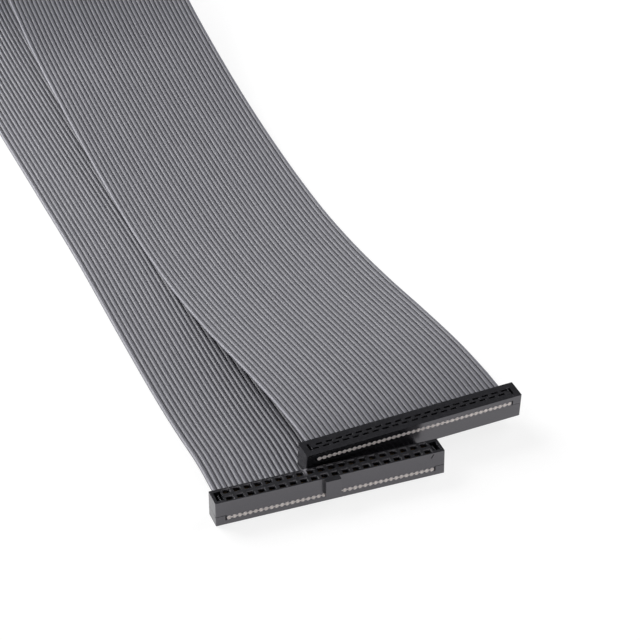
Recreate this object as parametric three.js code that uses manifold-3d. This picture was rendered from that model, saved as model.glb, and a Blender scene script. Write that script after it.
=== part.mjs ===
// Flat ribbon cable of forty wires with a forty-way insulation-displacement socket at each end.
// The lower socket lies on its cover with its mating face up. The ribbon leaves its back,
// runs away over the table, turns over in a U bend and comes back on top of itself to the
// upper socket, which lies the other way up just behind the lower one.
//
// Millimetres, +Z up. The origin is the middle of the lower cover's outer face, on the table.
// +X runs along the lower socket, and -Y is the side with its polarising key.
import * as THREE from 'three';
import { mergeVertices } from 'three/addons/utils/BufferGeometryUtils.js';
import Module from 'manifold-3d';

const wasm = await Module();
wasm.setup();

// Ribbon
const WIRES = 40;
const WIRE_PITCH = 1.27;
const RIBBON_THICKNESS = 0.9;
const RIBBON_EDGE_BEVEL = 0.25;
const RIBBON_STEPS = 80;

// Socket, shared by both ends
const ROWS = 2;
const ROW_PITCH = 2.54;
const END_MARGIN = 3.81;
const SOCKET_WIDTH = 5.0;
const COVER_HEIGHT = 2.4;
const BODY_HEIGHT = 3.85;
const PARTING_GAP = 0.1;

// Body
const ENTRY_SIZE = 1.3;
const ENTRY_DEPTH = 0.6;
const CHAMBER_CLEARANCE = 0.12;
const KEY_WIDTH = 3.8;
const KEY_DEPTH = 1.45;
const KEY_ROOT = 0.2;
const MARK_WIDTH = 1.1;
const MARK_HEIGHT = 1.3;
const MARK_DEPTH = 0.2;
const MARK_INSET = 3.3;
const MARK_DROP = 0.3;

// Contact: a forked tine below, a foot, and two beams that take the pin
const TINE_WIDTH = 1.0;
const TINE_THICKNESS = 0.2;
const TINE_ROW_PITCH = 1.1;
const TINE_TIP_RECESS = 0.9;
const TINE_FORK_WIDTH = 0.3;
const TINE_FORK_DEPTH = 1.3;
const FOOT_THICKNESS = 0.22;
const FOOT_HEIGHT_ABOVE_PARTING = 0.8;
const BEAM_WIDTH = 1.0;
const BEAM_THICKNESS = 0.2;
const BEAM_GAP = 0.66;
const BEAM_HEIGHT = 1.9;
const BARB_BITE = 0.1;

// How far a cutting shape runs past the face that it cuts
const CUT_OVERSHOOT = 1;

// Cover
const RIBBON_LEVEL = 1.75;
const RIBBON_CLEARANCE = 0.12;
const RIBBON_SIDE_CLEARANCE = 0.2;
const TINE_SLOT_LENGTH = 1.5;
const TINE_SLOT_CLEARANCE = 0.1;
const END_SLOT_WIDTH = 0.6;
const END_SLOT_LENGTH = 2.3;
const END_SLOT_DEPTH = 0.8;
const END_SLOT_INSET = 1.8;
const END_SLOT_SHIFT = 0.2;
const LATCH_THICKNESS = 0.45;
const LATCH_WIDTH = 2.6;
const LATCH_INSET = 1.75;
const LATCH_TIP_RECESS = 0.5;
const LATCH_ROOT = 0.3;
const RECESS_OUTER_INSET = 0.75;
const RECESS_INNER_INSET = 2.45;
const RECESS_WIDTH = 3.2;

// Place of the upper socket: the middle of its cover's outer face, its turn on the table
// and how far its front edge dips
const UPPER_PLACE = new THREE.Vector3(23.9, 8.1, 9.3);
const UPPER_YAW = THREE.MathUtils.degToRad(4.6);
const UPPER_DIP = THREE.MathUtils.degToRad(6);
const RIBBON_LEAD = 4;

// The ribbon's route between the sockets: the middle of the ribbon x, y, z, then how far the
// line across it is turned in plan and how far its right edge is lifted, both in degrees
const ROUTE = [
  [0.2, 20, 1.35, 0, 0],
  [-0.3, 34, 0.75, 0.6, 0],
  [-0.7, 50, 0.45, 1, 0],
  [-1.0, 80, 0.45, 0.8, 0],
  [-1.15, 115, 0.45, 1, 0],
  [-2.1, 155, 0.45, 1.4, 0],
  [-3.1, 195, 0.45, 0.8, 0],
  [-3.5, 230, 0.5, -0.5, 0],
  [-3.0, 258, 0.6, -1.8, 0],
  [-2.3, 273, 1.15, -2.4, -0.9],
  [-1.4, 286, 2.6, -3, -2.8],
  [-0.2, 298, 6.6, -2, -8],
  [2.0, 306, 15.5, 2, -13],
  [4.4, 304.5, 26.5, 4, -12.5],
  [6.8, 294, 35.6, 4.5, -10],
  [8.9, 276, 37.8, 4, -5.5],
  [10.6, 257, 31.5, 3, -1.5],
  [12.2, 239, 22.8, 1.8, 1.6],
  [13.45, 210, 13.2, 1.6, 1.8],
  [14.1, 189, 9.0, 1.9, 0.8],
  [14.7, 169, 5.9, 2.1, 0.2],
  [15.25, 149, 3.7, 2.4, 0.2],
  [15.75, 129, 2.4, 2.7, 0.5],
  [16.3, 109, 2.1, 3, 0.9],
  [17.25, 89, 2.8, 3.3, 1.4],
  [18.65, 69, 4.4, 3.7, 1.5],
  [20.45, 49.5, 6.4, 4, 1.2],
  [22.1, 31, 7.9, 4.3, 0.8],
];

// Worked out from the sizes above
// Every pin serves one of the wires below it, so the pins stand as many wires apart as there
// are rows of them
const POSITIONS = Math.round(WIRES / ROWS);
const PIN_PITCH = ROWS * WIRE_PITCH;
const RIBBON_WIDTH = POSITIONS * PIN_PITCH;
const ROW_LENGTH = (POSITIONS - 1) * PIN_PITCH;
const SOCKET_LENGTH = ROW_LENGTH + 2 * END_MARGIN;
const BODY_BASE = COVER_HEIGHT + PARTING_GAP;
const MATING_FACE = BODY_BASE + BODY_HEIGHT;
const FOOT_BASE = BODY_BASE + FOOT_HEIGHT_ABOVE_PARTING;
const FOOT_TOP = FOOT_BASE + FOOT_THICKNESS;
const CHAMBER_ROOF = MATING_FACE - ENTRY_DEPTH;
const TINE_Y = TINE_ROW_PITCH / 2;
const PIN_Y = ROW_PITCH / 2;
const BEAM_INNER_Y = PIN_Y - BEAM_GAP / 2 - BEAM_THICKNESS;
const BEAM_OUTER_Y = PIN_Y + BEAM_GAP / 2 + BEAM_THICKNESS;
const TINE_SHIFT = WIRE_PITCH / 2;
const TINE_LEFT = -TINE_SHIFT - TINE_WIDTH / 2;

// Booleans and small helpers
function toSolid(geometry) {
  const bare = geometry.clone();
  bare.deleteAttribute('normal');
  bare.deleteAttribute('uv');
  const merged = mergeVertices(bare, 1e-5);
  const mesh = new wasm.Mesh({
    numProp: 3,
    vertProperties: new Float32Array(merged.attributes.position.array),
    triVerts: new Uint32Array(merged.index.array),
  });
  return new wasm.Manifold(mesh);
}

function toGeometry(solid) {
  const mesh = solid.getMesh();
  const geometry = new THREE.BufferGeometry();
  geometry.setAttribute('position', new THREE.BufferAttribute(new Float32Array(mesh.vertProperties), 3));
  geometry.setIndex(new THREE.BufferAttribute(new Uint32Array(mesh.triVerts), 1));
  geometry.computeVertexNormals();
  return geometry;
}

function boxGeometry(x0, x1, y0, y1, z0, z1) {
  const box = new THREE.BoxGeometry(x1 - x0, y1 - y0, z1 - z0);
  return box.translate((x0 + x1) / 2, (y0 + y1) / 2, (z0 + z1) / 2);
}

function boxSolid(x0, x1, y0, y1, z0, z1) {
  return toSolid(boxGeometry(x0, x1, y0, y1, z0, z1));
}

function material(color, roughness, metalness) {
  return new THREE.MeshStandardMaterial({ color, roughness, metalness });
}

// Every position of a socket: its place in the row, its row's side and its number from the left
function positions() {
  const list = [];
  for (const side of [-1, 1]) {
    for (let i = 0; i < POSITIONS; i++) {
      list.push({ x: -ROW_LENGTH / 2 + i * PIN_PITCH, side, number: i + 1 });
    }
  }
  return list;
}

// A row's pieces are drawn for the +y side. The other row is the same turned half round.
function placeInRow(geometry, { x, side }) {
  const placed = geometry.clone();
  if (side < 0) placed.rotateZ(Math.PI);
  return placed.translate(x, 0, 0);
}

// Contact, drawn at x = 0 on the +y side. The barb on its foot bites the chamber wall.
function contactGeometry(barb) {
  const tine = boxSolid(
    TINE_LEFT, TINE_LEFT + TINE_WIDTH,
    TINE_Y - TINE_THICKNESS / 2, TINE_Y + TINE_THICKNESS / 2,
    TINE_TIP_RECESS, FOOT_TOP);
  const fork = boxSolid(
    -TINE_SHIFT - TINE_FORK_WIDTH / 2, -TINE_SHIFT + TINE_FORK_WIDTH / 2,
    TINE_Y - TINE_THICKNESS, TINE_Y + TINE_THICKNESS,
    TINE_TIP_RECESS - CUT_OVERSHOOT, TINE_TIP_RECESS + TINE_FORK_DEPTH);
  const foot = boxSolid(
    TINE_LEFT, BEAM_WIDTH / 2 + barb,
    TINE_Y - TINE_THICKNESS / 2, BEAM_OUTER_Y,
    FOOT_BASE, FOOT_TOP);
  const inner = boxSolid(
    -BEAM_WIDTH / 2, BEAM_WIDTH / 2,
    BEAM_INNER_Y, BEAM_INNER_Y + BEAM_THICKNESS,
    FOOT_BASE, FOOT_TOP + BEAM_HEIGHT);
  const outer = boxSolid(
    -BEAM_WIDTH / 2, BEAM_WIDTH / 2,
    BEAM_OUTER_Y - BEAM_THICKNESS, BEAM_OUTER_Y,
    FOOT_BASE, FOOT_TOP + BEAM_HEIGHT);
  return toGeometry(tine.subtract(fork).add(foot).add(inner).add(outer));
}

// Chamber for one contact with its square pin entry, drawn like the contact
function chamberGeometry() {
  const chamber = boxSolid(
    TINE_LEFT - CHAMBER_CLEARANCE, BEAM_WIDTH / 2 + CHAMBER_CLEARANCE,
    TINE_Y - TINE_THICKNESS / 2 - CHAMBER_CLEARANCE, BEAM_OUTER_Y + CHAMBER_CLEARANCE,
    BODY_BASE - CUT_OVERSHOOT, CHAMBER_ROOF);
  const entry = boxSolid(
    -ENTRY_SIZE / 2, ENTRY_SIZE / 2,
    PIN_Y - ENTRY_SIZE / 2, PIN_Y + ENTRY_SIZE / 2,
    CHAMBER_ROOF - ENTRY_SIZE / 2, MATING_FACE + CUT_OVERSHOOT);
  return toGeometry(chamber.add(entry));
}

// Body: a bar with the key on its front, forty chambers, the recesses for the cover's latches
// and the small triangle that marks wire one
function bodySolid() {
  let body = boxSolid(
    -SOCKET_LENGTH / 2, SOCKET_LENGTH / 2,
    -SOCKET_WIDTH / 2, SOCKET_WIDTH / 2,
    BODY_BASE, MATING_FACE);
  const key = boxSolid(
    -KEY_WIDTH / 2, KEY_WIDTH / 2,
    -SOCKET_WIDTH / 2 - KEY_DEPTH, -SOCKET_WIDTH / 2 + KEY_ROOT,
    BODY_BASE, MATING_FACE);
  body = body.add(key);
  const chamber = chamberGeometry();
  for (const place of positions()) {
    body = body.subtract(toSolid(placeInRow(chamber, place)));
  }
  for (const end of [-1, 1]) {
    const outer = end * (SOCKET_LENGTH / 2 - RECESS_OUTER_INSET);
    const inner = end * (SOCKET_LENGTH / 2 - RECESS_INNER_INSET);
    body = body.subtract(boxSolid(
      Math.min(outer, inner), Math.max(outer, inner),
      -RECESS_WIDTH / 2, RECESS_WIDTH / 2,
      BODY_BASE - CUT_OVERSHOOT, MATING_FACE + CUT_OVERSHOOT));
  }
  const triangle = new THREE.Shape();
  triangle.moveTo(-MARK_WIDTH / 2, 0);
  triangle.lineTo(0, -MARK_HEIGHT);
  triangle.lineTo(MARK_WIDTH / 2, 0);
  const mark = new THREE.ExtrudeGeometry(triangle, { depth: CUT_OVERSHOOT, bevelEnabled: false });
  mark.rotateX(Math.PI / 2);
  mark.translate(
    SOCKET_LENGTH / 2 - MARK_INSET,
    -SOCKET_WIDTH / 2 + MARK_DEPTH,
    MATING_FACE - MARK_DROP);
  return body.subtract(toSolid(mark));
}

// Cover: a bar with a channel for the ribbon, a slot under every tine, a blind slot at each
// end and two latches that stand up into the body's recesses
function coverSolid() {
  let cover = boxSolid(
    -SOCKET_LENGTH / 2, SOCKET_LENGTH / 2,
    -SOCKET_WIDTH / 2, SOCKET_WIDTH / 2,
    0, COVER_HEIGHT);
  const channelHalf = RIBBON_WIDTH / 2 + RIBBON_SIDE_CLEARANCE;
  cover = cover.subtract(boxSolid(
    -channelHalf, channelHalf,
    -SOCKET_WIDTH, SOCKET_WIDTH,
    RIBBON_LEVEL - RIBBON_THICKNESS / 2 - RIBBON_CLEARANCE, COVER_HEIGHT + CUT_OVERSHOOT));
  const slot = boxGeometry(
    -TINE_SHIFT - TINE_SLOT_LENGTH / 2, -TINE_SHIFT + TINE_SLOT_LENGTH / 2,
    TINE_Y - TINE_THICKNESS / 2 - TINE_SLOT_CLEARANCE,
    TINE_Y + TINE_THICKNESS / 2 + TINE_SLOT_CLEARANCE,
    -CUT_OVERSHOOT, COVER_HEIGHT);
  for (const place of positions()) {
    cover = cover.subtract(toSolid(placeInRow(slot, place)));
  }
  for (const end of [-1, 1]) {
    const slotX = end * (SOCKET_LENGTH / 2 - END_SLOT_INSET);
    const slotY = end * END_SLOT_SHIFT;
    cover = cover.subtract(boxSolid(
      slotX - END_SLOT_WIDTH / 2, slotX + END_SLOT_WIDTH / 2,
      slotY - END_SLOT_LENGTH / 2, slotY + END_SLOT_LENGTH / 2,
      -CUT_OVERSHOOT, END_SLOT_DEPTH));
    const latchX = end * (SOCKET_LENGTH / 2 - LATCH_INSET);
    cover = cover.add(boxSolid(
      latchX - LATCH_THICKNESS / 2, latchX + LATCH_THICKNESS / 2,
      -LATCH_WIDTH / 2, LATCH_WIDTH / 2,
      COVER_HEIGHT - LATCH_ROOT, MATING_FACE - LATCH_TIP_RECESS));
  }
  return cover;
}

// Where the upper socket stands. It is turned over, so its cover is on top.
const upperTurn = new THREE.Euler(Math.PI + UPPER_DIP, 0, UPPER_YAW, 'ZYX');
const upperMatrix = new THREE.Matrix4().makeRotationFromEuler(upperTurn).setPosition(UPPER_PLACE);

// The ribbon's centre line with the line across it at every point
class RibbonRoute extends THREE.Curve {
  constructor(centres, acrosses) {
    super();
    this.centres = new THREE.CatmullRomCurve3(centres, false, 'centripetal');
    this.acrosses = new THREE.CatmullRomCurve3(acrosses, false, 'centripetal');
    this.arcLengthDivisions = 1200;
  }

  getPoint(t, target = new THREE.Vector3()) {
    this.centres.getPoint(t, target);
    target.z = Math.max(target.z, RIBBON_THICKNESS / 2);
    return target;
  }

  // Stations along the ribbon: its stretch in each socket has stations of its own, so that
  // it stays straight there, and the rest are evenly spaced
  stations(segments) {
    const length = this.getLength();
    const held = [0, SOCKET_WIDTH, SOCKET_WIDTH + RIBBON_LEAD / 2];
    const first = held[held.length - 1];
    const free = segments - 2 * (held.length - 1);
    const list = held.map((distance) => distance / length);
    for (let i = 1; i < free; i++) {
      list.push((first + (length - 2 * first) * i / free) / length);
    }
    return list.concat(held.map((distance) => 1 - distance / length).reverse());
  }

  getSpacedPoints(segments) {
    return this.stations(segments).map((u) => this.getPointAt(u));
  }

  computeFrenetFrames(segments) {
    const frames = { tangents: [], normals: [], binormals: [] };
    for (const u of this.stations(segments)) {
      const t = this.getUtoTmapping(u);
      const tangent = this.getTangent(t);
      const across = this.acrosses.getPoint(t);
      across.addScaledVector(tangent, -across.dot(tangent)).normalize();
      frames.tangents.push(tangent);
      frames.normals.push(across);
      frames.binormals.push(new THREE.Vector3().crossVectors(tangent, across));
    }
    return frames;
  }
}

function ribbonRoute() {
  const centres = [];
  const acrosses = [];
  const edge = SOCKET_WIDTH / 2;
  for (const y of [-edge, edge, edge + RIBBON_LEAD / 2, edge + RIBBON_LEAD]) {
    centres.push(new THREE.Vector3(0, y, RIBBON_LEVEL));
    acrosses.push(new THREE.Vector3(1, 0, 0));
  }
  for (const [x, y, z, turn, lift] of ROUTE) {
    const a = THREE.MathUtils.degToRad(turn);
    const b = THREE.MathUtils.degToRad(lift);
    centres.push(new THREE.Vector3(x, y, z));
    acrosses.push(new THREE.Vector3(Math.cos(a) * Math.cos(b), Math.sin(a) * Math.cos(b), Math.sin(b)));
  }
  for (const y of [-edge - RIBBON_LEAD, -edge - RIBBON_LEAD / 2, -edge, edge]) {
    centres.push(new THREE.Vector3(0, y, RIBBON_LEVEL).applyMatrix4(upperMatrix));
    acrosses.push(new THREE.Vector3(1, 0, 0).transformDirection(upperMatrix));
  }
  return new RibbonRoute(centres, acrosses);
}

// Ribbon: a flat section with bevelled edges, slit where every tine goes through it
function ribbonSolid() {
  const halfWidth = RIBBON_WIDTH / 2;
  const halfThickness = RIBBON_THICKNESS / 2;
  const bevel = RIBBON_EDGE_BEVEL;
  const section = new THREE.Shape([
    new THREE.Vector2(-halfWidth, -halfThickness + bevel),
    new THREE.Vector2(-halfWidth + bevel, -halfThickness),
    new THREE.Vector2(halfWidth - bevel, -halfThickness),
    new THREE.Vector2(halfWidth, -halfThickness + bevel),
    new THREE.Vector2(halfWidth, halfThickness - bevel),
    new THREE.Vector2(halfWidth - bevel, halfThickness),
    new THREE.Vector2(-halfWidth + bevel, halfThickness),
    new THREE.Vector2(-halfWidth, halfThickness - bevel),
  ]);
  const strip = new THREE.ExtrudeGeometry(section, {
    steps: RIBBON_STEPS,
    extrudePath: ribbonRoute(),
    bevelEnabled: false,
  });
  let ribbon = toSolid(strip);
  const slit = boxGeometry(
    TINE_LEFT - TINE_SLOT_CLEARANCE, TINE_LEFT + TINE_WIDTH + TINE_SLOT_CLEARANCE,
    TINE_Y - TINE_THICKNESS / 2 - TINE_SLOT_CLEARANCE,
    TINE_Y + TINE_THICKNESS / 2 + TINE_SLOT_CLEARANCE,
    RIBBON_LEVEL - RIBBON_THICKNESS, RIBBON_LEVEL + RIBBON_THICKNESS);
  for (const place of positions()) {
    const lower = placeInRow(slit, place);
    const upper = lower.clone().applyMatrix4(upperMatrix);
    ribbon = ribbon.subtract(toSolid(lower)).subtract(toSolid(upper));
  }
  return ribbon;
}

// Assembly
const cable = new THREE.Group();

function addPiece(parent, name, geometry, colour, roughness, metalness) {
  const piece = new THREE.Mesh(geometry, material(colour, roughness, metalness));
  piece.name = name;
  parent.add(piece);
}

addPiece(cable, 'ribbon_cable', toGeometry(ribbonSolid()), 0x85858a, 0.45, 0);

const lowerSocket = new THREE.Group();
cable.add(lowerSocket);
const body = bodySolid();
const coverGeometry = toGeometry(coverSolid());
addPiece(lowerSocket, 'lower_socket_body', toGeometry(body), 0x242528, 0.35, 0);
addPiece(lowerSocket, 'lower_socket_cover', coverGeometry, 0x242528, 0.35, 0);
const looseContact = contactGeometry(0);
for (const place of positions()) {
  const row = place.side < 0 ? 'front' : 'back';
  const name = `lower_contact_${row}_${String(place.number).padStart(2, '0')}`;
  addPiece(lowerSocket, name, placeInRow(looseContact, place), 0xb9935a, 0.3, 1);
}

// The upper socket's contacts are pressed into its body, and are one piece with it here
const upperSocket = new THREE.Group();
upperSocket.position.copy(UPPER_PLACE);
upperSocket.rotation.copy(upperTurn);
cable.add(upperSocket);
const pressedContact = contactGeometry(CHAMBER_CLEARANCE + BARB_BITE);
let filledBody = body;
for (const place of positions()) {
  filledBody = filledBody.add(toSolid(placeInRow(pressedContact, place)));
}
addPiece(upperSocket, 'upper_socket_body', toGeometry(filledBody), 0x242528, 0.35, 0);
addPiece(upperSocket, 'upper_socket_cover', coverGeometry.clone(), 0x242528, 0.35, 0);

export default cable;
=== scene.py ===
# %% [markdown]
# # A forty-way ribbon cable
#
# This lesson dresses a flat grey ribbon cable with a black socket pressed on each end.
# The lower socket lies with its pin holes up. The ribbon runs away from it, turns over in a
# U bend and comes back to the upper socket, which lies the other way up just behind it.
# All the sizes are in metres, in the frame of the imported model.

import math

import bpy
from mathutils import Matrix, Vector


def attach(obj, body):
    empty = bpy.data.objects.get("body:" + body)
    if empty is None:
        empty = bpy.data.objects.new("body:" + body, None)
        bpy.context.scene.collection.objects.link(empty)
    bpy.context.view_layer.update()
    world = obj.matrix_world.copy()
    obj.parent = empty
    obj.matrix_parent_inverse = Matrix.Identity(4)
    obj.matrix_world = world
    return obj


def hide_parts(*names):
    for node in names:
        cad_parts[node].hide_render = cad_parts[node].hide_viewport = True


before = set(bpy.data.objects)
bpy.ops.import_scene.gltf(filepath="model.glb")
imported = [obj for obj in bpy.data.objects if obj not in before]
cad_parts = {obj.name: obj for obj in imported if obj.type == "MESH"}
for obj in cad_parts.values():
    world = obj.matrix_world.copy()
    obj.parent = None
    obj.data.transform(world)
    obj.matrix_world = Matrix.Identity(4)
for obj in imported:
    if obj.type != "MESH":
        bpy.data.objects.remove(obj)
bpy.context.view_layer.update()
MM = 0.001

# %% [markdown]
# ## Camera
#
# The photo was taken with a long lens from about 65 cm away, looking down at 34 degrees and a
# little from the left of the lower socket. A long lens keeps both sockets nearly parallel. The
# numbers below were solved from the corners of the sockets, and the roll is a third of a degree.

# %% Camera
IMAGE_SIDE = 640
FOCAL_PIXELS = 2575.4
SENSOR = 36.0
CAMERA_TARGET = Vector((0.02331, 0.06706, 0))
CAMERA_HEADING = math.radians(20.447)
CAMERA_DROP = math.radians(33.996)
CAMERA_ROLL = math.radians(0.339)
CAMERA_DISTANCE = 0.650

look = Vector((
    math.sin(CAMERA_HEADING) * math.cos(CAMERA_DROP),
    math.cos(CAMERA_HEADING) * math.cos(CAMERA_DROP),
    -math.sin(CAMERA_DROP)))
camera_data = bpy.data.cameras.new("camera")
camera_data.sensor_width = SENSOR
camera_data.lens = FOCAL_PIXELS * SENSOR / IMAGE_SIDE
camera_data.clip_start = 0.01
camera_data.clip_end = 50
camera = bpy.data.objects.new("camera", camera_data)
bpy.context.scene.collection.objects.link(camera)
turned = look.to_track_quat("-Z", "Y").to_matrix().to_4x4() @ Matrix.Rotation(-CAMERA_ROLL, 4, "Z")
camera.matrix_world = Matrix.Translation(CAMERA_TARGET - look * CAMERA_DISTANCE) @ turned
bpy.context.scene.camera = camera
print("camera at", [round(v, 4) for v in camera.matrix_world.translation],
      "lens", round(camera_data.lens, 1))

# %% [markdown]
# ## The ribbon's route
#
# A free cable is settled as a route first: where its middle runs, and how far the line across
# it is turned and tilted there. The route repeats the CAD model's points. A smooth curve goes
# through them, the same kind that the CAD model uses, so the ribbon lies where its solid is.

# %% Sizes of the ribbon and of the sockets
WIRES = 40
WIRE_PITCH = 1.27 * MM
RIBBON_WIDTH = WIRES * WIRE_PITCH
RIBBON_THICKNESS = 0.9 * MM
RIBBON_LEVEL = 1.75 * MM
RIBBON_LEAD = 4 * MM
SOCKET_WIDTH = 5.0 * MM
UPPER_PLACE = Vector((23.9 * MM, 8.1 * MM, 9.3 * MM))
UPPER_YAW = math.radians(4.6)
UPPER_DIP = math.radians(6)

upper_matrix = (Matrix.Translation(UPPER_PLACE)
                @ Matrix.Rotation(UPPER_YAW, 4, "Z")
                @ Matrix.Rotation(math.pi + UPPER_DIP, 4, "X"))
outward = upper_matrix.to_3x3() @ Vector((0, 0, -1))
print("upper socket's outward side:", [round(v, 3) for v in outward])

# %% Route points: x, y, z in metres, then the turn and the lift of the line across, in degrees
ROUTE = [
    (0.0002, 0.02, 0.00135, 0, 0),
    (-0.0003, 0.034, 0.00075, 0.6, 0),
    (-0.0007, 0.05, 0.00045, 1, 0),
    (-0.001, 0.08, 0.00045, 0.8, 0),
    (-0.00115, 0.115, 0.00045, 1, 0),
    (-0.0021, 0.155, 0.00045, 1.4, 0),
    (-0.0031, 0.195, 0.00045, 0.8, 0),
    (-0.0035, 0.23, 0.0005, -0.5, 0),
    (-0.003, 0.258, 0.0006, -1.8, 0),
    (-0.0023, 0.273, 0.00115, -2.4, -0.9),
    (-0.0014, 0.286, 0.0026, -3, -2.8),
    (-0.0002, 0.298, 0.0066, -2, -8),
    (0.002, 0.306, 0.0155, 2, -13),
    (0.0044, 0.3045, 0.0265, 4, -12.5),
    (0.0068, 0.294, 0.0356, 4.5, -10),
    (0.0089, 0.276, 0.0378, 4, -5.5),
    (0.0106, 0.257, 0.0315, 3, -1.5),
    (0.0122, 0.239, 0.0228, 1.8, 1.6),
    (0.01345, 0.21, 0.0132, 1.6, 1.8),
    (0.0141, 0.189, 0.009, 1.9, 0.8),
    (0.0147, 0.169, 0.0059, 2.1, 0.2),
    (0.01525, 0.149, 0.0037, 2.4, 0.2),
    (0.01575, 0.129, 0.0024, 2.7, 0.5),
    (0.0163, 0.109, 0.0021, 3, 0.9),
    (0.01725, 0.089, 0.0028, 3.3, 1.4),
    (0.01865, 0.069, 0.0044, 3.7, 1.5),
    (0.02045, 0.0495, 0.0064, 4, 1.2),
    (0.0221, 0.031, 0.0079, 4.3, 0.8),
]

half = SOCKET_WIDTH / 2
centres = []
acrosses = []
for y in (-half, half, half + RIBBON_LEAD / 2, half + RIBBON_LEAD):
    centres.append(Vector((0, y, RIBBON_LEVEL)))
    acrosses.append(Vector((1, 0, 0)))
for x, y, z, turn, lift in ROUTE:
    a, b = math.radians(turn), math.radians(lift)
    centres.append(Vector((x, y, z)))
    acrosses.append(Vector((math.cos(a) * math.cos(b), math.sin(a) * math.cos(b), math.sin(b))))
for y in (-half - RIBBON_LEAD, -half - RIBBON_LEAD / 2, -half, half):
    centres.append(upper_matrix @ Vector((0, y, RIBBON_LEVEL)))
    acrosses.append(upper_matrix.to_3x3() @ Vector((1, 0, 0)))
print(len(centres), "route points")

# %% A smooth curve through the points
def smooth(points, t):
    """The point at t, from 0 to 1, on a centripetal Catmull-Rom curve through all the points."""
    place = t * (len(points) - 1)
    i = min(int(place), len(points) - 2)
    w = place - i
    p1, p2 = points[i], points[i + 1]
    p0 = points[i - 1] if i > 0 else 2 * p1 - p2
    p3 = points[i + 2] if i + 2 < len(points) else 2 * p2 - p1
    d0, d1, d2 = (math.sqrt((b - a).length) for a, b in ((p0, p1), (p1, p2), (p2, p3)))
    d1 = d1 if d1 > 1e-4 else 1.0
    d0 = d0 if d0 > 1e-4 else d1
    d2 = d2 if d2 > 1e-4 else d1
    m1 = ((p1 - p0) / d0 - (p2 - p0) / (d0 + d1) + (p2 - p1) / d1) * d1
    m2 = ((p2 - p1) / d1 - (p3 - p1) / (d1 + d2) + (p3 - p2) / d2) * d1
    return (p1 + w * m1 + w * w * (3 * p2 - 3 * p1 - 2 * m1 - m2)
            + w ** 3 * (2 * p1 - 2 * p2 + m1 + m2))


SAMPLES = 3000
samples = []
for k in range(SAMPLES + 1):
    centre = smooth(centres, k / SAMPLES)
    centre.z = max(centre.z, RIBBON_THICKNESS / 2)
    samples.append((centre, smooth(acrosses, k / SAMPLES)))
travelled = [0.0]
for (a, _), (b, _) in zip(samples, samples[1:]):
    travelled.append(travelled[-1] + (b - a).length)
RIBBON_LENGTH = travelled[-1]
print("ribbon length:", round(RIBBON_LENGTH / MM, 1), "mm")

# %% [markdown]
# ## The ribbon's mesh
#
# A ribbon cable is forty thin wires laid side by side and joined by a web of PVC, so its
# section is a row of round ridges. The section is drawn once and carried along the route, with
# rings close together where the route turns and further apart where it is nearly straight.
# Cords are made as mesh in code, because a curve bevel can't bank as this ribbon does.

# %% The top half of the section: for one wire, distance across from its middle and height in mm
RIDGE = [
    (-0.635, 0.14), (-0.53, 0.15), (-0.46, 0.26), (-0.25, 0.40),
    (0.0, 0.45), (0.25, 0.40), (0.46, 0.26), (0.53, 0.15),
]
EDGE_INSET = 0.03 * MM
EDGE_HEIGHT = 0.12 * MM
top = []
for wire in range(WIRES):
    middle = (wire - (WIRES - 1) / 2) * WIRE_PITCH
    for across, height in RIDGE:
        top.append((middle + across * MM, height * MM))
top[0] = (-RIBBON_WIDTH / 2 + EDGE_INSET, EDGE_HEIGHT)
top.append((RIBBON_WIDTH / 2 - EDGE_INSET, EDGE_HEIGHT))
section = top + [(u, -h) for u, h in reversed(top)]
print(len(section), "points round the ribbon's section")

# %% Where the rings go
STRAIGHT_STEP = 6.0 * MM
TURN_STEP = math.radians(5)
LEAST_STEP = 1.2 * MM
LEAST_ROOM = 2 * MM
held = [0.0, SOCKET_WIDTH, SOCKET_WIDTH + RIBBON_LEAD / 2]


def sample_at(distance):
    """The number of the sample nearest to a distance along the ribbon."""
    return min(range(SAMPLES + 1), key=lambda k: abs(travelled[k] - distance))


def tangent_at(k):
    """The direction of the ribbon at sample k."""
    a = samples[max(k - 1, 0)][0]
    b = samples[min(k + 1, SAMPLES)][0]
    return (b - a).normalized()


ring_at = [sample_at(d) for d in held]
end_ks = [sample_at(RIBBON_LENGTH - d) for d in held]
last_k = ring_at[-1]
last_tangent = tangent_at(last_k)
for k in range(last_k + 1, end_ks[-1]):
    far = travelled[k] - travelled[last_k]
    turned_by = tangent_at(k).angle(last_tangent, 0)
    room = travelled[end_ks[-1]] - travelled[k]
    wanted = far > STRAIGHT_STEP or turned_by > TURN_STEP
    if wanted and far > LEAST_STEP and room > LEAST_ROOM:
        ring_at.append(k)
        last_k, last_tangent = k, tangent_at(k)
ring_at += sorted(end_ks)
print(len(ring_at), "rings along the ribbon")

# %% Build the ribbon
# Where the painted groove shade fades out, and how wide the painted edge highlight is
CREST_START = 0.14 * MM
CREST_RISE = 0.16 * MM
PAINTED_HIGHLIGHT_BAND = 0.2 * MM
verts = []
along = []
for k in ring_at:
    centre, across = samples[k]
    forward = tangent_at(k)
    across = (across - forward * across.dot(forward)).normalized()
    normal = across.cross(forward)
    for u, h in section:
        verts.append(centre + across * u + normal * h)
        along.append(travelled[k])
count = len(section)
faces = []
for r in range(len(ring_at) - 1):
    for i in range(count):
        j = (i + 1) % count
        faces.append((r * count + i, r * count + j, (r + 1) * count + j, (r + 1) * count + i))
tops = len(top)
for start, flip in ((0, False), ((len(ring_at) - 1) * count, True)):
    for i in range(tops - 1):
        quad = (start + i, start + i + 1, start + count - 2 - i, start + count - 1 - i)
        faces.append(quad if flip else tuple(reversed(quad)))
ribbon_mesh = bpy.data.meshes.new("ribbon")
ribbon_mesh.from_pydata(verts, [], faces)
ribbon = bpy.data.objects.new("ribbon", ribbon_mesh)
bpy.context.scene.collection.objects.link(ribbon)

# The pattern coordinates run across and along the ribbon, in metres
layer = ribbon_mesh.uv_layers.new(name="ribbon")
for loop in ribbon_mesh.loops:
    i = loop.vertex_index
    layer.data[loop.index].uv = (section[i % count][0], along[i])
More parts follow.
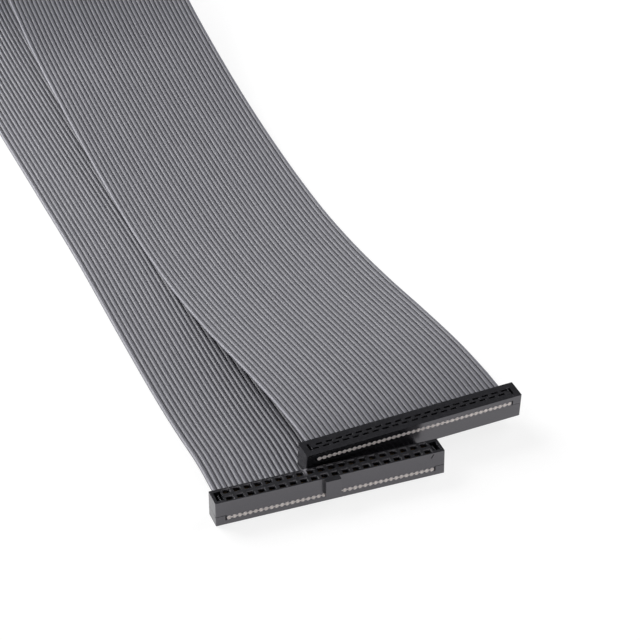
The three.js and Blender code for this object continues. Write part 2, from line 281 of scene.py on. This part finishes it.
# Two attributes: the crests, for shade painted into the grooves, and the outer edges, for a
# painted highlight
groove_shade_mask = ribbon_mesh.attributes.new("groove_shade_mask", "FLOAT", "POINT")
edge = ribbon_mesh.attributes.new("edge", "FLOAT", "POINT")
for i in range(len(verts)):
    u, h = section[i % count]
    # Groove shade mask: 0 in the grooves, rising to 1 on the crests; the finish paints shade where
    # it is low
    groove_shade_mask.data[i].value = min(1.0, max(0.0, (abs(h) - CREST_START) / CREST_RISE))
    # Edge mask: the band along the outer edges where a highlight is painted
    edge.data[i].value = 1.0 if abs(u) > RIBBON_WIDTH / 2 - PAINTED_HIGHLIGHT_BAND else 0.0


def only(obj):
    """Selects obj alone and makes it the active object."""
    bpy.ops.object.select_all(action="DESELECT")
    obj.select_set(True)
    bpy.context.view_layer.objects.active = obj


only(ribbon)
bpy.ops.object.mode_set(mode="EDIT")
bpy.ops.mesh.select_all(action="SELECT")
bpy.ops.mesh.normals_make_consistent(inside=False)
bpy.ops.object.mode_set(mode="OBJECT")
bpy.ops.object.shade_smooth_by_angle(angle=math.radians(50))
print("ribbon has", len(ribbon_mesh.polygons), "faces")

# %% Say what the ribbon is
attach(ribbon, "root")
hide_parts("ribbon_cable")

# %% [markdown]
# ## Helpers for modelling by hand
#
# The sockets are moulded bars. Each starts as a cube primitive at its place, is cut by bisect
# planes, and gets its forms by extruding faces that are picked by their place and direction.
# These few helpers do in code what a hand does in edit mode.

# %% Modelling helpers
def block(name, low, high):
    """A cube primitive from low to high, with its place in its mesh."""
    low, high = Vector(low), Vector(high)
    bpy.ops.object.select_all(action="DESELECT")
    bpy.ops.mesh.primitive_cube_add(size=1, location=(low + high) / 2, scale=high - low)
    obj = bpy.context.object
    obj.name = name
    bpy.ops.object.transform_apply(location=True, rotation=True, scale=True)
    return obj


def rod(name, sides, radius, depth, place, turn=math.pi / 2):
    """A cylinder primitive that lies along y, with its place in its mesh."""
    bpy.ops.object.select_all(action="DESELECT")
    bpy.ops.mesh.primitive_cylinder_add(
        vertices=sides, radius=radius, depth=depth, location=place, rotation=(turn, 0, 0))
    obj = bpy.context.object
    obj.name = name
    bpy.ops.object.transform_apply(location=True, rotation=True, scale=True)
    return obj


def split(obj, axis, *places):
    """Cuts the mesh with planes square to one axis, as the bisect tool does."""
    only(obj)
    bpy.ops.object.mode_set(mode="EDIT")
    for place in places:
        bpy.ops.mesh.select_all(action="SELECT")
        point, normal = Vector(), Vector()
        point[axis], normal[axis] = place, 1
        bpy.ops.mesh.bisect(plane_co=point, plane_no=normal)
    bpy.ops.object.mode_set(mode="OBJECT")


def pick(obj, part, test):
    """Selects the faces or edges of obj that pass the test and enters edit mode."""
    only(obj)
    mesh = obj.data
    for group in (mesh.vertices, mesh.edges, mesh.polygons):
        group.foreach_set("select", [False] * len(group))
    bpy.context.tool_settings.mesh_select_mode = (False, part == "edge", part == "face")
    chosen = 0
    if part == "face":
        for face in mesh.polygons:
            face.select = test(face.center, face.normal)
            chosen += face.select
    else:
        for edge in mesh.edges:
            a, b = (mesh.vertices[i].co for i in edge.vertices)
            edge.select = test(a, b)
            chosen += edge.select
    bpy.ops.object.mode_set(mode="EDIT")
    return chosen


def extrude(obj, test, move):
    """Extrudes the faces that pass the test and leaves their new ends selected."""
    chosen = pick(obj, "face", test)
    bpy.ops.mesh.extrude_region_move(TRANSFORM_OT_translate={"value": move})
    bpy.ops.object.mode_set(mode="OBJECT")
    return chosen


def round_edges(obj, test, offset, segments):
    """Bevels the edges that pass the test."""
    chosen = pick(obj, "edge", test)
    bpy.ops.mesh.bevel(offset=offset, segments=segments, affect="EDGES")
    bpy.ops.object.mode_set(mode="OBJECT")
    return chosen


def finish_modifier(obj, modifier):
    """Applies one modifier."""
    only(obj)
    bpy.ops.object.modifier_apply(modifier=modifier.name)


def repeat(obj, count, step):
    """Repeats the mesh count times, step apart."""
    array = obj.modifiers.new("repeat", "ARRAY")
    array.use_relative_offset = False
    array.use_constant_offset = True
    array.constant_offset_displace = step
    array.count = count
    finish_modifier(obj, array)


def combine(obj, other, operation):
    """Applies a boolean with the other shape to obj, then deletes that shape."""
    boolean = obj.modifiers.new("boolean", "BOOLEAN")
    boolean.operation = operation
    boolean.solver = "EXACT"
    boolean.object = other
    finish_modifier(obj, boolean)
    bpy.data.objects.remove(other, do_unlink=True)


def carve(obj, cutter):
    """Takes the cutter's shape out of obj."""
    combine(obj, cutter, "DIFFERENCE")


def join(objects, name):
    """Joins the objects into one piece."""
    bpy.ops.object.select_all(action="DESELECT")
    for obj in objects:
        obj.select_set(True)
    bpy.context.view_layer.objects.active = objects[0]
    bpy.ops.object.join()
    joined = bpy.context.object
    joined.name = name
    return joined


def copy_of(obj, name, matrix=None):
    """A copy with its own mesh, moved by the matrix."""
    twin = obj.copy()
    twin.data = obj.data.copy()
    twin.name = name
    bpy.context.scene.collection.objects.link(twin)
    if matrix is not None:
        twin.data.transform(matrix)
    return twin


def upright(a, b):
    """True for an edge that stands parallel to z."""
    return (a - b).xy.length < 1e-6


HALF_TURN = Matrix.Rotation(math.pi, 4, "Z")
print("helpers ready")

# %% [markdown]
# ## Socket body
#
# The body takes the pins: two rows of twenty square holes with sloped mouths, a key on its
# front that stops it going on the wrong way round, a slot at each end for the cover's latch and
# a small triangle that marks wire one. Below it a skirt reaches down between the end blocks
# and presses the ribbon into the cover, so its lower edge is scalloped to the forty wires.
# Repeating holes are cut with one cutter each that is modelled once and repeated.

# %% Sizes of the socket
PIN_PITCH = 2.54 * MM
POSITIONS = 20
SOCKET_LENGTH = 55.88 * MM
COVER_HEIGHT = 2.4 * MM
BODY_BASE = 2.5 * MM
MATING_FACE = 6.35 * MM
CHAMBER_ROOF = 5.75 * MM
CHANNEL = 51.2 * MM
SKIRT = 50.9 * MM
KEY_WIDTH = 3.8 * MM
KEY_DEPTH = 1.45 * MM
SLACK = 1 * MM
FIRST_PIN = -(POSITIONS - 1) / 2 * PIN_PITCH
FIRST_WIRE = -(WIRES - 1) / 2 * WIRE_PITCH
CORNER = 0.22 * MM
KEY_CORNER = 0.25 * MM
L, W = SOCKET_LENGTH / 2, SOCKET_WIDTH / 2

# %% Body: bar, rounded corners, key and skirt
lower_body = block("lower_body", (-L, -W, BODY_BASE), (L, W, MATING_FACE))
corners = round_edges(lower_body, upright, CORNER, 3)
split(lower_body, 0, -SKIRT / 2, -KEY_WIDTH / 2, KEY_WIDTH / 2, SKIRT / 2)
extrude(lower_body, lambda c, n: n.y < -0.99 and abs(c.x) < KEY_WIDTH / 2, (0, -KEY_DEPTH, 0))
round_edges(
    lower_body, lambda a, b: upright(a, b) and a.y < -W - KEY_DEPTH / 2, KEY_CORNER, 3)
extrude(
    lower_body,
    lambda c, n: n.z < -0.99 and abs(c.x) < SKIRT / 2 and c.y > -W,
    (0, 0, RIBBON_LEVEL - BODY_BASE))
print(corners, "corners rounded,", len(lower_body.data.polygons), "faces")

# %% Pin holes: a square shaft with a sloped mouth
SHAFT = 1.3 * MM
MOUTH = 1.72 * MM
MOUTH_DEPTH = 0.6 * MM
OVERLAP = 0.3 * MM
hole = block(
    "hole",
    (FIRST_PIN - SHAFT / 2, -PIN_PITCH / 2 - SHAFT / 2, CHAMBER_ROOF - OVERLAP),
    (FIRST_PIN + SHAFT / 2, -PIN_PITCH / 2 + SHAFT / 2, MATING_FACE - MOUTH_DEPTH))
extrude(hole, lambda c, n: n.z > 0.9, (0, 0, MOUTH_DEPTH))
pick(hole, "face", lambda c, n: n.z > 0.9)
bpy.ops.transform.resize(
    value=(MOUTH / SHAFT, MOUTH / SHAFT, 1),
    center_override=(FIRST_PIN, -PIN_PITCH / 2, MATING_FACE))
bpy.ops.object.mode_set(mode="OBJECT")
extrude(hole, lambda c, n: n.z > 0.9, (0, 0, SLACK))
repeat(hole, POSITIONS, (PIN_PITCH, 0, 0))
repeat(hole, 2, (0, PIN_PITCH, 0))
carve(lower_body, hole)
print("pin holes cut,", len(lower_body.data.polygons), "faces")

# %% Chambers for the contacts, under the holes
CHAMBER_LEFT, CHAMBER_RIGHT = -1.255 * MM, 0.62 * MM
CHAMBER_NEAR, CHAMBER_FAR = 0.33 * MM, 1.92 * MM
for turn in (Matrix.Identity(4), HALF_TURN):
    chamber = block(
        "chamber",
        (FIRST_PIN + CHAMBER_LEFT, CHAMBER_NEAR, RIBBON_LEVEL - SLACK),
        (FIRST_PIN + CHAMBER_RIGHT, CHAMBER_FAR, CHAMBER_ROOF))
    repeat(chamber, POSITIONS, (PIN_PITCH, 0, 0))
    chamber.data.transform(turn)
    carve(lower_body, chamber)
print("chambers cut,", len(lower_body.data.polygons), "faces")

# %% Latch slots at the ends and the wire-one mark
LATCH_SLOT_OUTER = L - 0.75 * MM
LATCH_SLOT_INNER = L - 2.45 * MM
LATCH_SLOT_HALF = 1.6 * MM
for end in (-1, 1):
    left, right = sorted((end * LATCH_SLOT_INNER, end * LATCH_SLOT_OUTER))
    carve(lower_body, block(
        "latch_slot", (left, -LATCH_SLOT_HALF, 0),
        (right, LATCH_SLOT_HALF, MATING_FACE + SLACK)))
MARK_RADIUS = 0.75 * MM
MARK_BAR = 1 * MM
MARK_PLACE = (L - 3.3 * MM, -W - 0.3 * MM, MATING_FACE - 0.3 * MM - 0.42 * MM)
carve(lower_body, rod("mark", 3, MARK_RADIUS, MARK_BAR, MARK_PLACE, turn=-math.pi / 2))
print("latch slots and mark cut,", len(lower_body.data.polygons), "faces")

# %% [markdown]
# ## Cover
#
# The cover is pressed up under the ribbon. Its outer face has a thin slot over every tine and a
# deeper slot across each end, and a thin latch stands up at each end into the body. The ribbon
# lies in forty round grooves.

# %% Cover: bar, end blocks and latches
LATCH_X = L - 1.75 * MM
LATCH_HALF = 0.225 * MM
LATCH_REACH = 1.3 * MM
LATCH_TOP = 5.85 * MM
LATCH_TIP = 0.4 * MM
LATCH_TAPER = (0.5, 0.85, 1)
lower_cover = block("lower_cover", (-L, -W, 0), (L, W, RIBBON_LEVEL))
round_edges(lower_cover, upright, CORNER, 3)
split(lower_cover, 0, -CHANNEL / 2, CHANNEL / 2)
extrude(
    lower_cover, lambda c, n: n.z > 0.9 and abs(c.x) > CHANNEL / 2,
    (0, 0, COVER_HEIGHT - RIBBON_LEVEL))
for end in (-1, 1):
    split(lower_cover, 0, end * LATCH_X - LATCH_HALF, end * LATCH_X + LATCH_HALF)
split(lower_cover, 1, -LATCH_REACH, LATCH_REACH)


def latch_end(c, n):
    """The small faces on top of the end blocks where the latches stand."""
    return n.z > 0.9 and abs(abs(c.x) - LATCH_X) < LATCH_HALF and abs(c.y) < LATCH_REACH


extrude(lower_cover, latch_end, (0, 0, LATCH_TOP - LATCH_TIP - COVER_HEIGHT))
extrude(lower_cover, latch_end, (0, 0, LATCH_TIP))
for end in (-1, 1):
    pick(lower_cover, "face", lambda c, n: latch_end(c, n) and c.x * end > 0)
    bpy.ops.transform.resize(value=LATCH_TAPER, center_override=(end * LATCH_X, 0, LATCH_TOP))
    bpy.ops.object.mode_set(mode="OBJECT")
print("cover has", len(lower_cover.data.polygons), "faces")

# %% Slots in the cover's outer face
TINE_X = FIRST_PIN - WIRE_PITCH / 2
TINE_HALF = 0.85 * MM
TINE_NEAR, TINE_FAR = 0.28 * MM, 0.82 * MM
END_SLOT_PLACE = (L - 1.8 * MM, 0.2 * MM)
END_SLOT_HALF = (0.3 * MM, 1.15 * MM)
END_SLOT_DEPTH = 1.5 * MM
for turn in (Matrix.Identity(4), HALF_TURN):
    slot_cutter = block(
        "tine_slot",
        (TINE_X - TINE_HALF, TINE_NEAR, -SLACK), (TINE_X + TINE_HALF, TINE_FAR, RIBBON_LEVEL))
    repeat(slot_cutter, POSITIONS, (PIN_PITCH, 0, 0))
    slot_cutter.data.transform(turn)
    carve(lower_cover, slot_cutter)
for end in (-1, 1):
    x, y = (end * v for v in END_SLOT_PLACE)
    wide, deep = END_SLOT_HALF
    carve(lower_cover, block(
        "end_slot", (x - wide, y - deep, -SLACK), (x + wide, y + deep, END_SLOT_DEPTH)))
print("slots cut,", len(lower_cover.data.polygons), "faces")

# %% Round grooves for the wires, a slit for the web, and a gap at each side of the ribbon
GROOVE_RADIUS = 0.5 * MM
SLIT_HALF = 0.17 * MM
GAP_SIDE = 0.1 * MM
GAP_HALF = 0.15 * MM
GAP_HEIGHT = 1.3 * MM
for piece in (lower_cover, lower_body):
    groove = rod(
        "groove", 16, GROOVE_RADIUS, SOCKET_WIDTH + 2 * SLACK, (FIRST_WIRE, 0, RIBBON_LEVEL))
    repeat(groove, WIRES, (WIRE_PITCH, 0, 0))
    carve(piece, groove)
    carve(piece, block(
        "slit", (-RIBBON_WIDTH / 2, -W - SLACK, RIBBON_LEVEL - SLIT_HALF),
        (RIBBON_WIDTH / 2, W + SLACK, RIBBON_LEVEL + SLIT_HALF)))
    for end in (-1, 1):
        middle = end * RIBBON_WIDTH / 2 + end * GAP_SIDE
        carve(piece, block(
            "channel_end", (middle - GAP_HALF, -W - SLACK, RIBBON_LEVEL - GAP_HEIGHT / 2),
            (middle + GAP_HALF, W + SLACK, RIBBON_LEVEL + GAP_HEIGHT / 2)))
    print(piece.name, "has", len(piece.data.polygons), "faces")

# %% The key reaches down in front of the cut wires
KEY_DROP = 0.5 * MM
lips = extrude(
    lower_body, lambda c, n: n.z < -0.99 and c.y < -W - 0.1 * MM, (0, 0, -KEY_DROP))
print(lips, "face under the key moved down")

# %% Soften the edges and make the upper socket as a copy
WELD = 0.004 * MM
FINE_WELD = 0.001 * MM
SOFT_EDGE = 0.035 * MM
SHARP = math.radians(40)


def weld(obj, threshold):
    """Merges the vertices that lie closer together than the threshold."""
    only(obj)
    bpy.ops.object.mode_set(mode="EDIT")
    bpy.ops.mesh.select_all(action="SELECT")
    bpy.ops.mesh.remove_doubles(threshold=threshold)
    bpy.ops.mesh.dissolve_degenerate(threshold=threshold)
    bpy.ops.object.mode_set(mode="OBJECT")


for piece in (lower_cover, lower_body):
    weld(piece, WELD)
    soft = piece.modifiers.new("soft_edges", "BEVEL")
    soft.width = SOFT_EDGE
    soft.segments = 2
    soft.limit_method = "ANGLE"
    soft.angle_limit = SHARP
    finish_modifier(piece, soft)
    weld(piece, FINE_WELD)
    bpy.ops.object.shade_smooth_by_angle(angle=SHARP)
    flat = piece.modifiers.new("flat_faces", "WEIGHTED_NORMAL")
    flat.keep_sharp = True
    flat.weight = 100
    finish_modifier(piece, flat)
    print(piece.name, "finished with", len(piece.data.polygons), "faces")
upper_body = copy_of(lower_body, "upper_body", upper_matrix)
upper_cover = copy_of(lower_cover, "upper_cover", upper_matrix)

# %% [markdown]
# ## Cut wire ends
#
# The ribbon is cut flush with the side of the socket, so forty small pale discs show there,
# joined by the ribbon's thin web: the cut PVC, with seven fine tinned strands in the middle of
# each. One end is modelled as a short rod with insets in its face, repeated, and fused with a
# thin bar for the web.

# %% One cut end, repeated
END_Y = -W - 0.02 * MM
END_RADIUS = 0.52 * MM
END_LENGTH = 0.3 * MM
# Each inset of the cut face: how far in, and how far out of the face
END_INSETS = [(0.07 * MM, 0.03 * MM), (0.20 * MM, 0), (0.02 * MM, -0.03 * MM)]
CUT_WEB_SIDE = RIBBON_WIDTH / 2 - 0.1 * MM
CUT_WEB_HALF = 0.16 * MM
CUT_WEB_FRONT, CUT_WEB_BACK = END_Y + 0.01 * MM, END_Y + 0.25 * MM


def inset_front(obj, insets):
    """Insets the front face of obj once for each pair of thickness and depth."""
    pick(obj, "face", lambda c, n: n.y < -0.9)
    for thickness, depth in insets:
        bpy.ops.mesh.inset(thickness=thickness, depth=depth)
    bpy.ops.object.mode_set(mode="OBJECT")


lower_wire_ends = rod(
    "lower_wire_ends", 18, END_RADIUS, END_LENGTH,
    (FIRST_WIRE, END_Y + END_LENGTH / 2, RIBBON_LEVEL))
inset_front(lower_wire_ends, END_INSETS)
repeat(lower_wire_ends, WIRES, (WIRE_PITCH, 0, 0))
cut_web = block(
    "cut_web", (-CUT_WEB_SIDE, CUT_WEB_FRONT, RIBBON_LEVEL - CUT_WEB_HALF),
    (CUT_WEB_SIDE, CUT_WEB_BACK, RIBBON_LEVEL + CUT_WEB_HALF))
combine(lower_wire_ends, cut_web, "UNION")
only(lower_wire_ends)
bpy.ops.object.shade_smooth_by_angle(angle=math.radians(35))
print("cut ends:", len(lower_wire_ends.data.polygons), "faces")

# %% Seven strands in each cut end
STRAND_RING = 0.135 * MM
STRAND_RADIUS = 0.064 * MM
STRAND_LENGTH = 0.3 * MM
STRAND_Y = END_Y + 0.12 * MM
STRAND_INSETS = [(0.02 * MM, 0.012 * MM)]
strand_places = [(0.0, 0.0)]
for k in range(6):
    strand_places.append((
        STRAND_RING * math.cos(k * math.pi / 3), STRAND_RING * math.sin(k * math.pi / 3)))
strands = []
for x, z in strand_places:
    strand = rod(
        "strand", 8, STRAND_RADIUS, STRAND_LENGTH, (FIRST_WIRE + x, STRAND_Y, RIBBON_LEVEL + z))
    inset_front(strand, STRAND_INSETS)
    strands.append(strand)
lower_strands = join(strands, "lower_strands")
repeat(lower_strands, WIRES, (WIRE_PITCH, 0, 0))
# The ribbon ends at the upper socket's other long side, so its ends are turned round as well
upper_wire_ends = copy_of(lower_wire_ends, "upper_wire_ends", upper_matrix @ HALF_TURN)
upper_strands = copy_of(lower_strands, "upper_strands", upper_matrix @ HALF_TURN)
print("strands:", len(lower_strands.data.polygons), "faces")

# %% [markdown]
# ## Contacts
#
# The lower socket's forty contacts are already right in the CAD model and stay. The upper
# socket has the same ones, which the CAD model fuses with its body, so they are copied here.

# %% Upper contacts, copied from the lower ones
lower_contacts = [
    obj for name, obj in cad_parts.items() if name.startswith("lower_contact")]
twins = [copy_of(obj, "twin", upper_matrix) for obj in lower_contacts]
for twin in twins:
    twin.parent = None
    twin.matrix_world = Matrix.Identity(4)
upper_contacts = join(twins, "upper_contacts")
for key in list(upper_contacts.keys()):
    del upper_contacts[key]
bpy.ops.object.mode_set(mode="EDIT")
bpy.ops.mesh.select_all(action="SELECT")
bpy.ops.mesh.remove_doubles(threshold=1e-6)
bpy.ops.mesh.normals_make_consistent(inside=False)
bpy.ops.object.mode_set(mode="OBJECT")
print(len(lower_contacts), "contacts copied,", len(upper_contacts.data.polygons), "faces")

# %% Say what stands for what
for obj in (lower_body, lower_cover, upper_body, upper_cover,
            lower_wire_ends, upper_wire_ends, lower_strands, upper_strands, upper_contacts):
    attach(obj, "root")
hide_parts("lower_socket_body")
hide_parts("lower_socket_cover")
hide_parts("upper_socket_body")
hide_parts("upper_socket_cover")

# %% [markdown]
# ## Finishes
#
# Grey PVC is a soft gloss plastic. Each wire took its colour a little differently, and fine marks
# run along the ribbon. Shade is painted into the grooves between the wires, the crests are painted
# a little lighter, and a highlight is painted along the ribbon's outer edges. Its pattern follows
# the ribbon's own coordinates. The sockets are black polyester filled with glass, slightly rough
# and faintly mottled, and the contacts are gold-flashed.

# %% Material helper
def finish_of(name, colour, roughness, metallic=0.0):
    """A new material, its node tree and its Principled shader."""
    material = bpy.data.materials.new(name)
    material.use_nodes = True
    tree = material.node_tree
    shader = tree.nodes["Principled BSDF"]
    shader.inputs["Base Color"].default_value = (*colour, 1)
    shader.inputs["Roughness"].default_value = roughness
    shader.inputs["Metallic"].default_value = metallic
    return material, tree, shader


def node(tree, kind, **settings):
    """A node with some of its settings or input values given."""
    made = tree.nodes.new(kind)
    for key, value in settings.items():
        if key in made.inputs:
            made.inputs[key].default_value = value
        else:
            setattr(made, key, value)
    return made


def spread(tree, source, low, high):
    """Turns a 0 to 1 value into one from low to high."""
    ranged = node(tree, "ShaderNodeMapRange")
    ranged.inputs["To Min"].default_value = low
    ranged.inputs["To Max"].default_value = high
    tree.links.new(source, ranged.inputs["Value"])
    return ranged.outputs["Result"]


def object_noise(tree, **settings):
    """A noise value on the piece's own Object coordinates, in metres."""
    place = node(tree, "ShaderNodeTexCoord")
    noise = node(tree, "ShaderNodeTexNoise", **settings)
    tree.links.new(place.outputs["Object"], noise.inputs["Vector"])
    return noise.outputs["Fac"]


def relief(tree, shader, height, strength, distance):
    """Fine relief from a height value, as a bump."""
    bump = node(tree, "ShaderNodeBump", Strength=strength, Distance=distance)
    tree.links.new(height, bump.inputs["Height"])
    tree.links.new(bump.outputs["Normal"], shader.inputs["Normal"])


def tinted(tree, colour, amount):
    """A colour multiplied by a grey amount."""
    mix = node(tree, "ShaderNodeVectorMath", operation="SCALE")
    mix.inputs[0].default_value = colour
    tree.links.new(amount, mix.inputs["Scale"])
    return mix.outputs["Vector"]


def times(tree, a, b):
    """The product of two values."""
    product = node(tree, "ShaderNodeMath", operation="MULTIPLY")
    tree.links.new(a, product.inputs[0])
    tree.links.new(b, product.inputs[1])
    return product.outputs[0]


# %% Grey PVC
PVC_GREY = (0.152, 0.151, 0.172)
pvc, tree, shader = finish_of("ribbon_pvc", PVC_GREY, 0.4)
shader.inputs["Specular IOR Level"].default_value = 0.28
uv = node(tree, "ShaderNodeUVMap", uv_map="ribbon")
wires = node(tree, "ShaderNodeMapping")
wires.inputs["Scale"].default_value = (1 / WIRE_PITCH, 0, 0)
tree.links.new(uv.outputs["UV"], wires.inputs["Vector"])
whole = node(tree, "ShaderNodeVectorMath", operation="FLOOR")
tree.links.new(wires.outputs["Vector"], whole.inputs[0])
own = node(tree, "ShaderNodeTexWhiteNoise", noise_dimensions="3D")
tree.links.new(whole.outputs["Vector"], own.inputs["Vector"])
marks_place = node(tree, "ShaderNodeMapping")
marks_place.inputs["Scale"].default_value = (2200, 60, 1)
tree.links.new(uv.outputs["UV"], marks_place.inputs["Vector"])
marks = node(tree, "ShaderNodeTexNoise", Scale=1.0, Detail=3.0)
tree.links.new(marks_place.outputs["Vector"], marks.inputs["Vector"])
groove_shade_node = node(tree, "ShaderNodeAttribute", attribute_name="groove_shade_mask")
edge_highlight_node = node(tree, "ShaderNodeAttribute", attribute_name="edge")
wire_tone = spread(tree, own.outputs["Value"], 0.94, 1.05)
tone = times(tree, wire_tone, spread(tree, marks.outputs["Fac"], 0.93, 1.07))
# Painted shade in the grooves between the wires, and the crests painted a little lighter
tone = times(tree, tone, spread(tree, groove_shade_node.outputs["Fac"], 0.30, 1.10))
# A highlight painted along the ribbon's outer edges, up to 2.6 times lighter there
tone = times(tree, tone, spread(tree, edge_highlight_node.outputs["Fac"], 1.0, 2.6))
tree.links.new(tinted(tree, PVC_GREY, tone), shader.inputs["Base Color"])
tree.links.new(spread(tree, marks.outputs["Fac"], 0.32, 0.48), shader.inputs["Roughness"])
relief(tree, shader, marks.outputs["Fac"], 0.25, 0.04 * MM)
print("grey PVC:", len(tree.nodes), "nodes")

# %% Black glass-filled plastic
BLACK = (0.0145, 0.0147, 0.0166)
black, tree, shader = finish_of("socket_black", BLACK, 0.22)
shader.inputs["IOR"].default_value = 1.6
shader.inputs["Specular IOR Level"].default_value = 1.0
shader.inputs["Specular Tint"].default_value = (0.96, 0.93, 1.0, 1)
mottle = object_noise(tree, Scale=900.0, Detail=4.0, Roughness=0.6)
grain = object_noise(tree, Scale=9000.0, Detail=2.0)
tone = times(tree, spread(tree, mottle, 0.7, 1.3), spread(tree, grain, 0.8, 1.2))
tree.links.new(tinted(tree, BLACK, tone), shader.inputs["Base Color"])
tree.links.new(spread(tree, mottle, 0.16, 0.28), shader.inputs["Roughness"])
relief(tree, shader, grain, 0.15, 0.01 * MM)
print("black plastic:", len(tree.nodes), "nodes")

# %% Gold-flashed contacts, tinned strands and cut PVC
GOLD = (0.80, 0.58, 0.30)
TINNED = (0.86, 0.80, 0.76)
CUT_PVC = (0.86, 0.79, 0.77)

gold, tree, shader = finish_of("contact_gold", GOLD, 0.28, 1.0)
rub = object_noise(tree, Scale=1500.0, Detail=3.0)
tree.links.new(spread(tree, rub, 0.2, 0.42), shader.inputs["Roughness"])
tree.links.new(tinted(tree, GOLD, spread(tree, rub, 0.85, 1.1)), shader.inputs["Base Color"])

tinned, tree, shader = finish_of("tinned_strand", TINNED, 0.35, 1.0)
rub = object_noise(tree, Scale=6000.0, Detail=2.0)
tree.links.new(spread(tree, rub, 0.25, 0.5), shader.inputs["Roughness"])
tree.links.new(tinted(tree, TINNED, spread(tree, rub, 0.85, 1.1)), shader.inputs["Base Color"])

cut_pvc, tree, shader = finish_of("cut_pvc", CUT_PVC, 0.5)
torn = object_noise(tree, Scale=2500.0, Detail=4.0)
tree.links.new(tinted(tree, CUT_PVC, spread(tree, torn, 0.7, 1.15)), shader.inputs["Base Color"])
relief(tree, shader, torn, 0.4, 0.03 * MM)
print("gold, tinned and cut PVC ready")

# %% Put the finishes on
def coat(obj, material):
    """Gives obj one material."""
    obj.data.materials.clear()
    obj.data.materials.append(material)


coat(ribbon, pvc)
for obj in (lower_body, lower_cover, upper_body, upper_cover):
    coat(obj, black)
for obj in (lower_wire_ends, upper_wire_ends):
    coat(obj, cut_pvc)
for obj in (lower_strands, upper_strands):
    coat(obj, tinned)
coat(upper_contacts, gold)
for obj in lower_contacts:
    for entry in obj.material_slots:
        entry.material = gold

# %% [markdown]
# ## Studio
#
# A white table and a pale room. The top of a black plastic part looks dark only if what it
# mirrors is dark, so the room is white near the horizon and dark above it. The lamps are soft
# boxes, a strong one behind on the left and two weak ones at the right and in front. The table
# adds its own white where it is looked at or mirrored.

# %% Floor, a hair below the object so that no two faces share a plane
FLOOR_HALF = 12
FLOOR_LEVEL = -0.02 * MM
f = FLOOR_HALF
floor_mesh = bpy.data.meshes.new("floor")
floor_mesh.from_pydata([(-f, -f, 0), (f, -f, 0), (f, f, 0), (-f, f, 0)], [], [(0, 1, 2, 3)])
floor = bpy.data.objects.new("floor", floor_mesh)
bpy.context.scene.collection.objects.link(floor)
floor.location.z = FLOOR_LEVEL
white, tree, shader = finish_of("white_table", (0.8, 0.8, 0.8), 0.9)
tree.nodes.remove(shader)
output = tree.nodes["Material Output"]
plain = node(tree, "ShaderNodeBsdfDiffuse", Color=(0.8, 0.8, 0.8, 1))
dim = node(tree, "ShaderNodeBsdfDiffuse", Color=(0.24, 0.24, 0.24, 1))
glow = node(tree, "ShaderNodeEmission", Color=(1, 1, 1, 1), Strength=0.82)
both = node(tree, "ShaderNodeAddShader")
tree.links.new(dim.outputs[0], both.inputs[0])
tree.links.new(glow.outputs[0], both.inputs[1])
rays = node(tree, "ShaderNodeLightPath")
seen = node(tree, "ShaderNodeMath", operation="MAXIMUM")
tree.links.new(rays.outputs["Is Camera Ray"], seen.inputs[0])
tree.links.new(rays.outputs["Is Glossy Ray"], seen.inputs[1])
seen_too = node(tree, "ShaderNodeMath", operation="MAXIMUM")
tree.links.new(seen.outputs[0], seen_too.inputs[0])
tree.links.new(rays.outputs["Is Transmission Ray"], seen_too.inputs[1])
choose = node(tree, "ShaderNodeMixShader")
tree.links.new(seen_too.outputs[0], choose.inputs["Fac"])
tree.links.new(plain.outputs[0], choose.inputs[1])
tree.links.new(both.outputs[0], choose.inputs[2])
tree.links.new(choose.outputs[0], output.inputs["Surface"])
coat(floor, white)
print("floor laid at", FLOOR_LEVEL / MM, "mm")

# %% Room
HORIZON_WHITE_TO = 0.15
DARK_FROM = 0.40
world = bpy.data.worlds.new("room")
bpy.context.scene.world = world
world.use_nodes = True
tree = world.node_tree
sky = node(tree, "ShaderNodeTexCoord")
parts = node(tree, "ShaderNodeSeparateXYZ")
tree.links.new(sky.outputs["Generated"], parts.inputs[0])
ramp = node(tree, "ShaderNodeValToRGB")
ramp.color_ramp.elements[0].position = HORIZON_WHITE_TO
ramp.color_ramp.elements[0].color = (1, 1, 1, 1)
ramp.color_ramp.elements[1].position = DARK_FROM
ramp.color_ramp.elements[1].color = (0.06, 0.06, 0.064, 1)
tree.links.new(parts.outputs["Z"], ramp.inputs["Fac"])
tree.links.new(ramp.outputs["Color"], tree.nodes["Background"].inputs["Color"])
print("room:", len(tree.nodes), "nodes")

# %% Lamps
def soft_box(name, heading, height, distance, size, watts):
    """An area lamp aimed at the object, its heading measured from the way the camera looks."""
    lamp = bpy.data.lights.new(name, "AREA")
    lamp.shape = "RECTANGLE"
    lamp.size, lamp.size_y = size
    lamp.energy = watts
    holder = bpy.data.objects.new(name, lamp)
    bpy.context.scene.collection.objects.link(holder)
    turn = CAMERA_HEADING + heading
    holder.location = CAMERA_TARGET + Vector((
        distance * math.sin(turn), distance * math.cos(turn), height))
    aim = CAMERA_TARGET - holder.location
    holder.rotation_euler = aim.to_track_quat("-Z", "Y").to_euler()


soft_box("left_back", math.radians(-50), 0.545, 0.84, (0.8, 0.6), 13.0)
soft_box("right_side", math.radians(60), 0.60, 0.72, (0.6, 0.6), 3.2)
soft_box("front_fill", math.radians(180), 0.35, 1.2, (1.4, 0.5), 1.0)

print("three lamps placed")

bpy.context.scene.view_settings.view_transform = "Standard"
